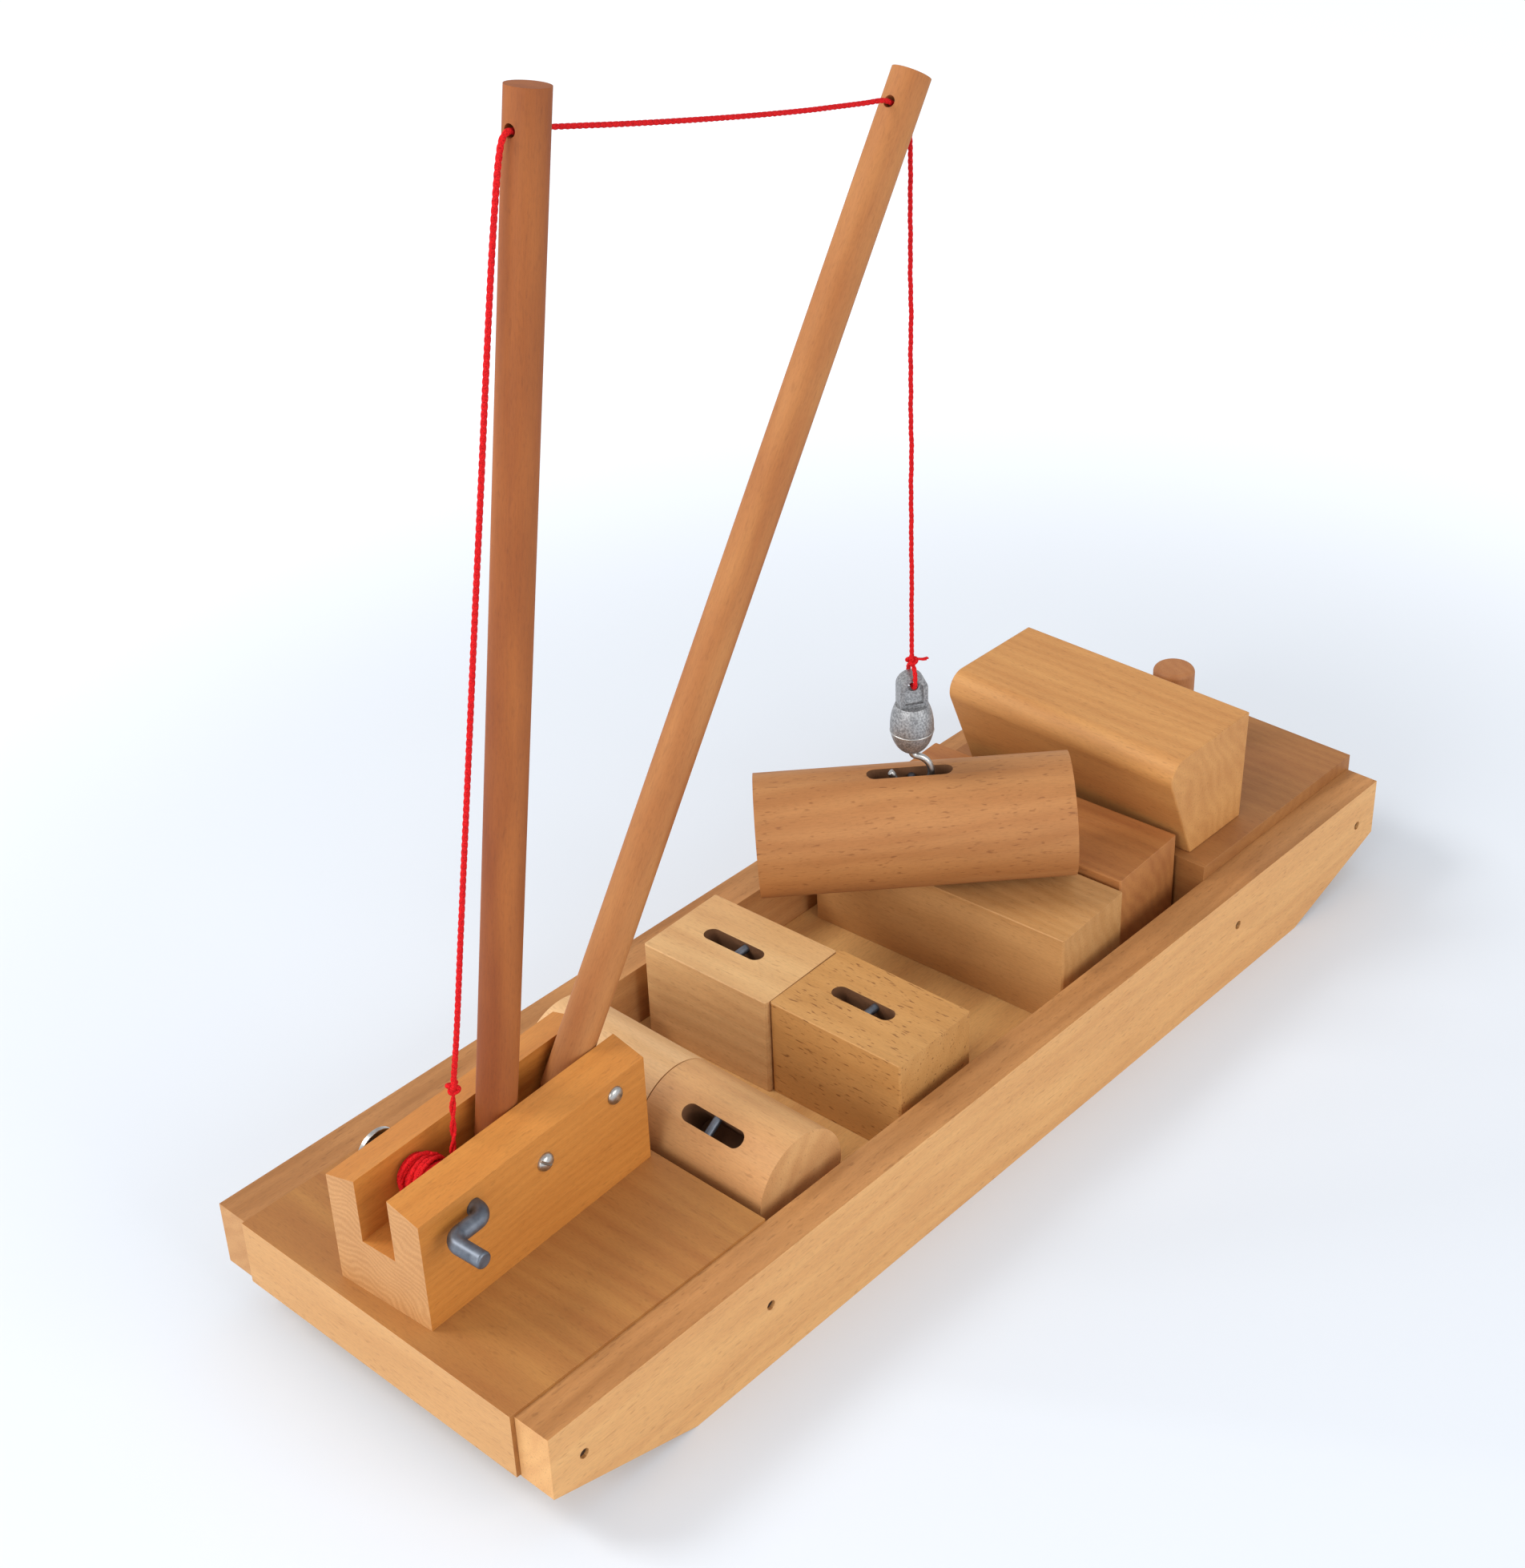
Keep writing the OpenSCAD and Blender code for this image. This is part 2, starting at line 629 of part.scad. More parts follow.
module cord_lead() {
    color("red") on_deck() translate([drop_top[0], drop_top[1], drop_z + knot_d / 2])
        cylinder(h = lead_len - knot_d / 2, r = cord_r, $fn = 24);
}

module cord_knot() {
    color("red") on_deck() translate([drop_top[0], drop_top[1], drop_z]) sphere(d = knot_d, $fn = 32);
}

// The loop through the eye: down one face, through the hole and up the other, in the knot's frame
loop_out = lug_t / 2 + cord_r + cord_gap;
loop_low = knot_seat + eye_down;
loop_route = concat(
    [[0, 0.9, -0.8], [0, 0.45 * loop_out, -2.4], [0, loop_out - 0.5, -4], [0, loop_out, -5.4]],
    [for (a = [0 : 30 : 180]) [0, loop_out * cos(a), -loop_low + 1.2 - 1.2 * sin(a)]],
    [[0, -loop_out, -5.4], [0, 0.5 - loop_out, -4], [0, -0.45 * loop_out, -2.4], [0, -0.9, -0.8]]);

module cord_loop() {
    color("red") on_hook() translate([0, 0, drop_z]) rotate([0, 0, lug_turn]) tube(loop_route, cord_r * 0.8, 8);
}

// Face outline of the eye, from the middle of its hole, with a rim of the given width taken off
module lug_face(rim, low) {
    r = lug_w / 2 - rim;
    translate([0, eye_down - lug_w / 2]) circle(r = r);
    translate([-r, -low]) square([2 * r, low + eye_down - lug_w / 2]);
}

module hook_weight() {
    top_b = egg_top / sqrt(1 - pow(0.76, 2));
    profile = concat(
        [[0, -egg_low]],
        [for (a = [-85 : 5 : 0]) [egg_d / 2 * cos(a), egg_low * sin(a)]],
        [for (k = [1 : 8]) [egg_d / 2 * sqrt(1 - pow(k * egg_top / 8 / top_b, 2)), k * egg_top / 8]],
        [[0, egg_top]]);
    color("lightslategray") on_hook() translate([0, 0, egg_z]) difference() {
        union() {
            rotate_extrude() polygon(profile);
            translate([0, 0, egg_top + lug_h - eye_down]) rotate([90, 0, lug_turn]) difference() {
                linear_extrude(lug_t, center = true) lug_face(0, lug_h - eye_down + 1);
                for (side = [-1, 1]) translate([0, 0, side * (lug_t - lug_recess)])
                    linear_extrude(lug_t, center = true) lug_face(lug_rim, lug_h - eye_down - 1.2);
                cylinder(h = 2 * lug_t, d = eye_d, center = true);
            }
        }
        translate([0, 0, -egg_low - over]) cylinder(h = over + 4.3, r = wire_d / 2 + fit, $fn = 32);
    }
}

// Arc of the hook's wire from angle a through angle turn, about a centre in the hook's plane
module wire_arc(centre, r, a, turn) {
    translate(centre) rotate([0, 0, a]) rotate_extrude(angle = turn) translate([r, 0])
        circle(r = wire_d / 2, $fn = 32);
}

// The wire: a stem, a small bend, most of a ring, and a tip that flares out
module hook_wire() {
    bend_r = hook_r * cos(78) / (1 - cos(78));
    stem_z = hook_r * sin(78) + bend_r * sin(78);
    color("gray") on_hook() translate([0, 0, ring_z]) rotate([90, 0, 0]) {
        translate([0, stem_z, 0]) rotate([-90, 0, 0]) cylinder(h = 4, r = wire_d / 2, $fn = 32);
        wire_arc([bend_r, stem_z], bend_r, 180, 78);
        wire_arc([0, 0], hook_r, 198, 240);
        wire_arc([(hook_r + 5) * cos(198), (hook_r + 5) * sin(198)], 5, 18, 28);
    }
}

// Slot with round ends, cut down from the top of a piece, with its middle at and its length l
// measured along the piece from its pin, and the blind cross hole for that pin
module slot_cut(top, down, at, l) {
    translate([at, 0, top - cargo_slot_depth]) linear_extrude(cargo_slot_depth + over) {
        square([l - cargo_slot_w, cargo_slot_w], center = true);
        for (side = [-1, 1]) translate([side * (l - cargo_slot_w) / 2, 0]) circle(d = cargo_slot_w, $fn = 32);
    }
    translate([0, 0, top - down]) rotate([90, 0, 0])
        cylinder(h = cargo_slot_w + 2 * pin_seat, r = pin_d / 2 + fit, center = true, $fn = 32);
}

module slot_pin(top, down) {
    translate([0, 0, top - down]) rotate([90, 0, 0])
        cylinder(h = cargo_slot_w + 2 * pin_seat, r = pin_d / 2, center = true, $fn = 32);
}

// A round log along X with its slot upwards, about its axis under the pin, which lies off the middle
module log_piece(d, l, off, down, at, slot_l) {
    difference() {
        translate([-off, 0, 0]) rotate([0, 90, 0]) cylinder(h = l, r = d / 2, center = true, $fn = 96);
        slot_cut(d / 2, down, at, slot_l);
    }
}

// A box with bevelled edges, standing on its bottom
module box_piece(l, w, h, at) {
    b = edge_bevel;
    difference() {
        intersection() {
            linear_extrude(h) polygon([
                [-l / 2, -w / 2 + b], [-l / 2 + b, -w / 2], [l / 2 - b, -w / 2], [l / 2, -w / 2 + b],
                [l / 2, w / 2 - b], [l / 2 - b, w / 2], [-l / 2 + b, w / 2], [-l / 2, w / 2 - b]]);
            rotate([90, 0, 90]) linear_extrude(l, center = true) polygon([
                [-w / 2, 0], [w / 2, 0], [w / 2, h - b / 2], [w / 2 - b / 2, h], [-w / 2 + b / 2, h],
                [-w / 2, h - b / 2]]);
        }
        slot_cut(h, pin_down, at, cargo_slot_len);
    }
}

// Frame of the long log, about the pin that hangs on the hook
module on_long_pin() {
    on_hook() translate([0, 0, long_pin_z]) rotate([0, -long_log_tilt, 0]) translate([0, 0, -log_low])
        children();
}

module long_log() {
    color("peru") on_long_pin() log_piece(long_log_d, long_log_len, 0, long_pin_down, -0.7, long_slot_len);
}

module long_log_pin() {
    color("silver") on_long_pin() slot_pin(long_log_d / 2, long_pin_down);
}

// Frame of a short log in the hold, under its pin, rolled a little towards the bow
module on_short_log(i) {
    translate([short_log_x[i] + short_pin_off, short_log_y, floor_z + short_log_d / 2]) rotate([short_log_roll, 0, 0]) children();
}

module short_log_port() {
    color("peru") on_short_log(0) log_piece(short_log_d, short_log_len, short_pin_off, pin_down, 1, cargo_slot_len);
}

module short_log_starboard() {
    color("peru") on_short_log(1) log_piece(short_log_d, short_log_len, short_pin_off, pin_down, 1, cargo_slot_len);
}

module short_pin_port() {
    color("silver") on_short_log(0) slot_pin(short_log_d / 2, pin_down);
}

module short_pin_starboard() {
    color("silver") on_short_log(1) slot_pin(short_log_d / 2, pin_down);
}

// Frame of a box that stands on the hold's floor: across, along, turn
module on_floor(place) {
    translate([place[0], place[1], floor_z]) rotate([0, 0, place[2]]) children();
}

module crate_port() {
    color("sandybrown") on_floor(crate_place[0]) box_piece(pair_len, crate_w, crate_h, -2.7);
}

module crate_starboard() {
    color("sandybrown") on_floor(crate_place[1]) box_piece(pair_len, crate_w, crate_h, -2.7);
}

module crate_pin_port() {
    color("silver") on_floor(crate_place[0]) slot_pin(crate_h, pin_down);
}

module crate_pin_starboard() {
    color("silver") on_floor(crate_place[1]) slot_pin(crate_h, pin_down);
}

module front_box() {
    color("burlywood") on_floor(front_box_place) box_piece(front_box_len, box_w, front_box_h, 0);
}

module rear_box() {
    color("burlywood") on_floor(rear_box_place) box_piece(rear_box_len, box_w, rear_box_h, 0);
}

module front_box_pin() {
    color("silver") on_floor(front_box_place) slot_pin(front_box_h, pin_down);
}

module rear_box_pin() {
    color("silver") on_floor(rear_box_place) slot_pin(rear_box_h, pin_down);
}

bottom_board();
bow_block();
stern_block();
rail_port();
rail_starboard();
rail_nails();
cabin();
funnel();
crane_block();
mast();
mast_screw();
boom_screw();
cord_riser();
riser_knot();
crank();
axle_cap();
cord_core();
cord_winding();
boom();
cord_span();
cord_drop();
cord_lead();
cord_knot();
cord_loop();
hook_weight();
hook_wire();
long_log();
long_log_pin();
short_log_port();
short_log_starboard();
short_pin_port();
short_pin_starboard();
crate_port();
crate_starboard();
crate_pin_port();
crate_pin_starboard();
front_box();
rear_box();
front_box_pin();
rear_box_pin();
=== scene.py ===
# A wooden toy cargo boat with a cranked cord crane, photographed on a white table.
# Bare beech throughout, with red cotton cord and small steel and zinc fittings.
import bpy
import bmesh
import numpy as np
from math import radians, pi
from mathutils import Vector, Matrix


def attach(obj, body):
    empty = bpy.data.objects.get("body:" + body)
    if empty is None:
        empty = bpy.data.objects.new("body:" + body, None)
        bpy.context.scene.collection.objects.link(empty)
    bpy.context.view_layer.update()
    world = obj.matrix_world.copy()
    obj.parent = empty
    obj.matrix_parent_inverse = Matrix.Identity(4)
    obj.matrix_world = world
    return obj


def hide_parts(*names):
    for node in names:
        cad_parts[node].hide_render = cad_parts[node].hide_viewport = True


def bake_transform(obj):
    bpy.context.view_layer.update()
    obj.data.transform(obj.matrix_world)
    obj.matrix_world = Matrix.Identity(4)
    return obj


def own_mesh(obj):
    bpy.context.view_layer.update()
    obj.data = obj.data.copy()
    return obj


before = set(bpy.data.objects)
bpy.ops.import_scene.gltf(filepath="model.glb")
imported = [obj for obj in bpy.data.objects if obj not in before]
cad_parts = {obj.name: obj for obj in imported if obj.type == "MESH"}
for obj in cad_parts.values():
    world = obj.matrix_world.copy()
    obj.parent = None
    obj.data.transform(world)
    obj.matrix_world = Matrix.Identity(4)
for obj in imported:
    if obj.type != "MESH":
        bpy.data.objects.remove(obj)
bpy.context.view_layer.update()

# ---------------------------------------------------------------- camera
# A hand-held camera at the port bow, about 0.8 m away, looking down at the boat.
lens = bpy.data.cameras.new("camera")
camera = bpy.data.objects.new("camera", lens)
bpy.context.scene.collection.objects.link(camera)
bpy.context.scene.camera = camera
camera.matrix_world = Matrix((
    (0.754324, -0.332445, 0.566106, 0.435045),
    (0.656319, 0.402227, -0.638324, -0.494790),
    (-0.015496, 0.853050, 0.521600, 0.532238),
    (0, 0, 0, 1)))
lens.sensor_fit = "HORIZONTAL"
lens.sensor_width = 36
lens.lens = 36 * 3061.8 / 1904
lens.shift_x = (952 - 1063.4) / 1904
lens.shift_y = (920.6 - 979) / 1904
lens.clip_start = 0.01


# ---------------------------------------------------------------- hoisting cord
# Red cotton yarn of 1.8 mm, two plies laid up to the right. It leaves the winding, is knotted
# once, runs up to the mast, through it, across to the boom and down to the hook.
def linear(code):
    """sRGB hex to linear RGBA: c/12.92 below 0.04045, else ((c + 0.055)/1.055)^2.4."""
    c = np.array([int(code[i:i + 2], 16) / 255 for i in (1, 3, 5)])
    c = np.where(c <= 0.04045, c / 12.92, ((c + 0.055) / 1.055) ** 2.4)
    return (*c.tolist(), 1.0)


def add(tree, kind, settings=None, inputs=None):
    """Adds one shader node, sets its properties, and fills or links its inputs."""
    node = tree.nodes.new("ShaderNode" + kind)
    for key, value in (settings or {}).items():
        setattr(node, key, value)
    for key, value in (inputs or {}).items():
        if isinstance(value, bpy.types.NodeSocket):
            tree.links.new(value, node.inputs[key])
        else:
            node.inputs[key].default_value = value
    return node


def finish_of(name, roughness, metallic=0.0):
    """A new material and its principled shader, with its own roughness and metallic values."""
    material = bpy.data.materials.new(name)
    material.use_nodes = True
    shader = material.node_tree.nodes["Principled BSDF"]
    shader.inputs["Roughness"].default_value = roughness
    shader.inputs["Metallic"].default_value = metallic
    return material, material.node_tree, shader


def on_deck(points):
    """Crane frame (across, along, up from the deck, mm) to the boat's frame (m), turned 3.27 deg."""
    p = np.asarray(points, float).reshape(-1, 3)
    c, s = np.cos(radians(3.27)), np.sin(radians(3.27))
    return np.stack([p[:, 0] * c - p[:, 1] * s, p[:, 0] * s + p[:, 1] * c - 205.1, p[:, 2] + 40], 1) / 1000


def through(points, step):
    """Catmull-Rom curve through points: P(t) = (2b + (c-a)t + (2a-5b+4c-d)t^2 + (3b-a-3c+d)t^3)/2."""
    p = np.asarray(points, float)
    p = np.vstack([2 * p[0] - p[1], p, 2 * p[-1] - p[-2]])
    parts = []
    for a, b, c, d in zip(p[:-3], p[1:-2], p[2:-1], p[3:]):
        count = max(2, int(np.linalg.norm(c - b) / step) + 1)
        t = np.linspace(0, 1, count, endpoint=False)[:, None]
        parts.append((2 * b + (c - a) * t + (2 * a - 5 * b + 4 * c - d) * t ** 2
                      + (3 * b - a - 3 * c + d) * t ** 3) / 2)
    return np.vstack(parts + [p[-2:-1]])


def swept(path, radius, sides=12, across=(1.0, 0.06, 0.0)):
    """Tube: path(s) + R(s, a) (cos a u + sin a w), where u is the across axis laid square to the
    path and w = t x u. radius is a number or a function R(s, a). Closed by a point at each end."""
    p = np.asarray(path, float)
    t = np.gradient(p, axis=0)
    t /= np.linalg.norm(t, axis=1)[:, None]
    u = np.asarray(across, float) - (t @ np.asarray(across, float))[:, None] * t
    u /= np.linalg.norm(u, axis=1)[:, None]
    w = np.cross(t, u)
    s = np.concatenate([[0], np.cumsum(np.linalg.norm(np.diff(p, axis=0), axis=1))])
    a = np.arange(sides) * 2 * pi / sides
    r = radius(s[:, None], a[None, :]) if callable(radius) else np.full((len(p), sides), radius)
    spoke = np.cos(a)[None, :, None] * u[:, None] + np.sin(a)[None, :, None] * w[:, None]
    ring = p[:, None] + r[..., None] * spoke
    n = len(p)
    tip = 0.4
    verts = np.vstack([ring.reshape(-1, 3), p[0] - t[0] * r[0].mean() * tip,
                       p[-1] + t[-1] * r[-1].mean() * tip])
    k = np.arange(sides)
    after = (k + 1) % sides
    i = np.arange(n - 1)[:, None] * sides
    quads = np.stack([i + k, i + after, i + sides + after, i + sides + k], -1).reshape(-1, 4)
    first = np.stack([np.full(sides, n * sides), after, k], 1)
    last = np.stack([np.full(sides, n * sides + 1), (n - 1) * sides + k, (n - 1) * sides + after], 1)
    return verts, quads.tolist() + first.tolist() + last.tolist()


def joined(*shapes):
    """Several (vertices, faces) shapes as one."""
    verts, faces, start = [], [], 0
    for v, f in shapes:
        verts.append(v)
        faces += [[start + i for i in face] for face in f]
        start += len(v)
    return np.vstack(verts), faces


def piece(name, shape, material, body, *nodes, smooth=40):
    """Makes a mesh object at the origin, with its faces outwards. It rides on a body, if one is
    given, and stands for the CAD nodes that are named."""
    mesh = bpy.data.meshes.new(name)
    mesh.from_pydata(shape[0].tolist(), [], shape[1])
    work = bmesh.new()
    work.from_mesh(mesh)
    bmesh.ops.recalc_face_normals(work, faces=work.faces)
    work.to_mesh(mesh)
    work.free()
    mesh.materials.append(material)
    mesh.shade_smooth()
    if smooth < 180:
        mesh.set_sharp_from_angle(angle=radians(smooth))
    obj = bpy.data.objects.new(name, mesh)
    bpy.context.scene.collection.objects.link(obj)
    if body:
        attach(obj, body)
    if nodes:
        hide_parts(*nodes)
    return obj


# Dyed cotton yarn: matt, with a soft sheen from its loose fibres and darker lines between plies
cotton, tree, shader = finish_of("dyed_cotton_yarn", 0.85)
where = add(tree, "TexCoord").outputs["Object"]
fibres = add(tree, "TexNoise", None, {"Vector": where, "Scale": 2600.0, "Detail": 3.0}).outputs["Fac"]
tone = add(tree, "ValToRGB", None, {0: fibres})
tone.color_ramp.elements[0].color = linear("#A00E14")
tone.color_ramp.elements[0].position = 0.30
tone.color_ramp.elements[1].color = linear("#E21C20")
tone.color_ramp.elements[1].position = 0.64
tree.links.new(tone.outputs[0], shader.inputs["Base Color"])
shader.inputs["Specular IOR Level"].default_value = 0.15
fuzz = add(tree, "Bump", None, {"Strength": 0.5, "Distance": 0.0002, "Height": fibres})
tree.links.new(fuzz.outputs[0], shader.inputs["Normal"])


def plies(radius, lay, turn=0.0):
    """Outline of two plies twisted round each other: R(0.70 + 0.30 |cos(a - 2 pi s / lay)|)."""
    return lambda s, a: radius * (0.70 + 0.30 * np.abs(np.cos(a - 2 * pi * s / lay + turn)) ** 0.8)


riser_points = [
    (1.9, 31.9, 57.5), (1.8, 36, 76), (1.6, 41.5, 104), (1.4, 47.5, 134), (1.1, 53.8, 165), (0.9, 60, 196),
    (0.6, 66.4, 227), (0.4, 72.4, 257), (0.2, 78, 284), (0, 82, 301), (0, 83.6, 307), (0, 85, 310.5),
    (0, 87, 312), (0, 89.5, 311.6), (0, 93, 311)]
riser_line = through(on_deck(riser_points), 0.0005)
# Below the knot the yarn is doubled and loosely twisted, with a gap showing between its two legs
tail_line = through(on_deck([(2.2, 28.4, 36), (2.2, 29.4, 41), (2, 30.6, 50), (1.9, 31.9, 57.5)]), 0.0004)
turn = np.linspace(0, 3.2 * pi, len(tail_line))[:, None]
side = np.array([[0.998, 0.057, 0.0]])
back = np.array([[-0.057, 0.998, 0.0]])
leg = 0.00048 * (np.cos(turn) * side + np.sin(turn) * back)
piece("riser_cord", joined(
    swept(riser_line, plies(0.0009, 0.0042)),
    swept(tail_line + leg, plies(0.00052, 0.003), 8), swept(tail_line - leg, plies(0.00052, 0.003, 1), 8)),
    cotton, "hull", "cord_riser", smooth=180)


def trefoil(centre, size, thick, tall=1.0, turn=0.0):
    """Overhand knot pulled tight, a trefoil: (sin t + 2 sin 2t, cos t - 2 cos 2t, -sin 3t)."""
    t = np.linspace(0, 2 * pi, 145)
    p = np.stack([np.sin(t) + 2 * np.sin(2 * t), np.cos(t) - 2 * np.cos(2 * t), -2.1 * tall * np.sin(3 * t)], 1)
    p = p * size / 6
    c, s = np.cos(turn), np.sin(turn)
    p = np.stack([p[:, 0] * c - p[:, 1] * s, p[:, 2], p[:, 0] * s + p[:, 1] * c], 1)
    return swept(np.asarray(centre) + p, thick, 10, (0.31, 0.17, 0.93))


knot_at = on_deck([(1.9, 31.9, 57.5)])[0]
piece("riser_overhand_knot", trefoil(knot_at, 0.0031, 0.00072, 1.0, 0.5),
      cotton, "hull", "riser_knot", smooth=180)

# Span from the mast to the boom
span_points = [
    (0, 94, 310.9), (0, 98, 310.2), (0, 102, 309.4), (0.4, 112, 307.2), (0.9, 126, 304.1), (1.4, 142, 300.7),
    (1.9, 160, 297), (2.5, 178, 293.5), (3.1, 196, 290.2), (3.6, 210, 287.9), (3.9, 221, 286.1),
    (4.1, 228.5, 285), (4.2, 232, 283.8), (4.2, 236, 281.3)]
span_line = through(on_deck(span_points), 0.0005)
span = piece("span_cord", swept(span_line, plies(0.0008, 0.0042)), cotton, None, "cord_span", smooth=180)
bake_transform(span)

# Drop from the boom's hole to the knot above the hook.
drop_top = on_deck([(4.17, 241.95, 277.5)])[0]
knot_z = 0.13797
lead_z = knot_z + 0.015
z = np.linspace(drop_top[2], lead_z, 420)
fade = np.sin(pi * (z - lead_z) / (drop_top[2] - lead_z)) ** 0.4
wander = 0.00012 * fade * np.sin(z * 210 + 1) * np.sin(z * 67) + 0.00005 * fade * np.sin(z * 740)
drop_line = np.stack([drop_top[0] + wander, drop_top[1] + 0.7 * wander, z], 1)
drop = piece("drop_cord", swept(drop_line, plies(0.00078, 0.004)), cotton, "hanger", "cord_drop", smooth=180)
z = np.linspace(lead_z, knot_z + 0.0012, 40)
lead_line = np.stack([np.full(40, drop_top[0]), np.full(40, drop_top[1]), z], 1)
piece("lead_cord", swept(lead_line, plies(0.00078, 0.004, 0.4)), cotton, "line_end", "cord_lead", smooth=180)

# Knot on top of the hook's eye, with its short frayed tail, and the loop through the eye
hook_at = np.array([drop_top[0], drop_top[1], 0.0])
knot_at = hook_at + [0, 0, knot_z]
ran = np.random.default_rng(7)


def on_eye(points):
    """Frame of the hook's eye (across its face, out of it, up from the knot, mm) to the boat's (m)."""
    p = np.asarray(points, float)
    c, s = np.cos(radians(55.7)), np.sin(radians(55.7))
    return knot_at + np.stack([p[:, 0] * c - p[:, 1] * s, p[:, 0] * s + p[:, 1] * c, p[:, 2]], 1) / 1000


tail = [swept(through(knot_at + np.array([
    (0.0006, 0.0004, 0.0002), (0.0018, 0.0012, 0.0004 + d[2]), (0.0029 + d[0], 0.0021 + d[1], 0.0003 + d[2]),
    (0.0040 + d[0], 0.0031 + 2 * d[1], 0.0006 + 2 * d[2])]), 0.0003), 0.0003, 6)
    for d in ran.normal(0, 0.00022, (6, 3))]
piece("hook_cord_knot", joined(trefoil(knot_at, 0.0030, 0.0007, 0.9, 1.1), *tail),
      cotton, "hook", "cord_knot", smooth=180)
loop = [
    (0, -0.8, -1.2), (0.3, -1.7, -2.6), (0.2, -3.3, -4.4), (0, -4, -6.2), (0, -3.9, -8), (0, -2.6, -9.2), (0, -1, -9.4),
    (0, 1, -9.4), (0, 2.6, -9.2), (0, 3.9, -8), (0, 4, -6.2), (-0.2, 3.3, -4.4), (-0.3, 1.7, -2.6), (0, 0.8, -1.2)]
piece("hook_cord_loop", swept(through(on_eye(loop), 0.0003), plies(0.0008, 0.0035), 10, (0.56, 0.83, 0.01)),
      cotton, "hook", "cord_loop", smooth=180)


# Cord wound on the crank's rod: turns over a plain core, with two slack turns laid across them
def wound(a, across, radius):
    """Helix about the crank's axis: (across(a), 20.2 + r cos a, 31.2 + r sin a), in the crane's frame."""
    axis_along, axis_up = 20.2, 31.2
    return on_deck(np.stack([across, axis_along + radius * np.cos(a), axis_up + radius * np.sin(a)], 1))


start, end = radians(-12 - 1080), radians(-12)
a = np.linspace(start, end, 460)
even = wound(a, -4.4 + 2.2 * (a - start) / (2 * pi) + 0.5 * np.sin(1.7 * a), 6.2 + 0.25 * np.sin(2.3 * a))
b = np.linspace(0.4, 0.4 + 6.2 * pi, 420)
slack = wound(b, -1.0 + 2.9 * np.sin(0.47 * b + 0.3), 6.7 + 0.5 * np.sin(1.7 * b))
c = np.linspace(0, 3.4 * pi, 300)
under = wound(c, 1.6 + 2.0 * np.sin(0.37 * c), 5.9 + 0.3 * np.sin(3 * c))
skew = (0.5, 0.1, 0.2)
piece("wound_cord", joined(
    swept(even, plies(0.0009, 0.0042), 10, skew), swept(slack, plies(0.0007, 0.004), 10, skew),
    swept(under, plies(0.0008, 0.004), 10, skew)), cotton, "crank", "cord_winding", smooth=180)
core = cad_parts["cord_core"]
core.data.materials.clear()
core.data.materials.append(cotton)


# ---------------------------------------------------------------- hull
# Two beech rails nailed to end blocks and a bottom board, sanded and left bare. Each arris is
# eased by hand with abrasive paper, so it catches a thin line of light.
def eased(node, body, material, arris=0.45, smooth=32):
    """Copy of a CAD node with its triangles merged, flat faces joined, and arrises rounded (mm)."""
    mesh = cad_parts[node].data.copy()
    work = bmesh.new()
    work.from_mesh(mesh)
    bmesh.ops.remove_doubles(work, verts=work.verts, dist=2e-6)
    bmesh.ops.dissolve_limit(work, angle_limit=radians(0.4), use_dissolve_boundaries=False,
                             verts=work.verts, edges=work.edges)
    work.to_mesh(mesh)
    work.free()
    mesh.materials.clear()
    mesh.materials.append(material)
    mesh.shade_smooth()
    mesh.set_sharp_from_angle(angle=radians(smooth))
    obj = bpy.data.objects.new(node + "_eased", mesh)
    bpy.context.scene.collection.objects.link(obj)
    if arris:
        bevel = obj.modifiers.new("arris", "BEVEL")
        bevel.width = arris / 1000
        bevel.segments = 2
        bevel.limit_method = "ANGLE"
        bevel.angle_limit = radians(34)
        bevel.harden_normals = False
        bevel.use_clamp_overlap = True
    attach(obj, body)
    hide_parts(node)
    return obj


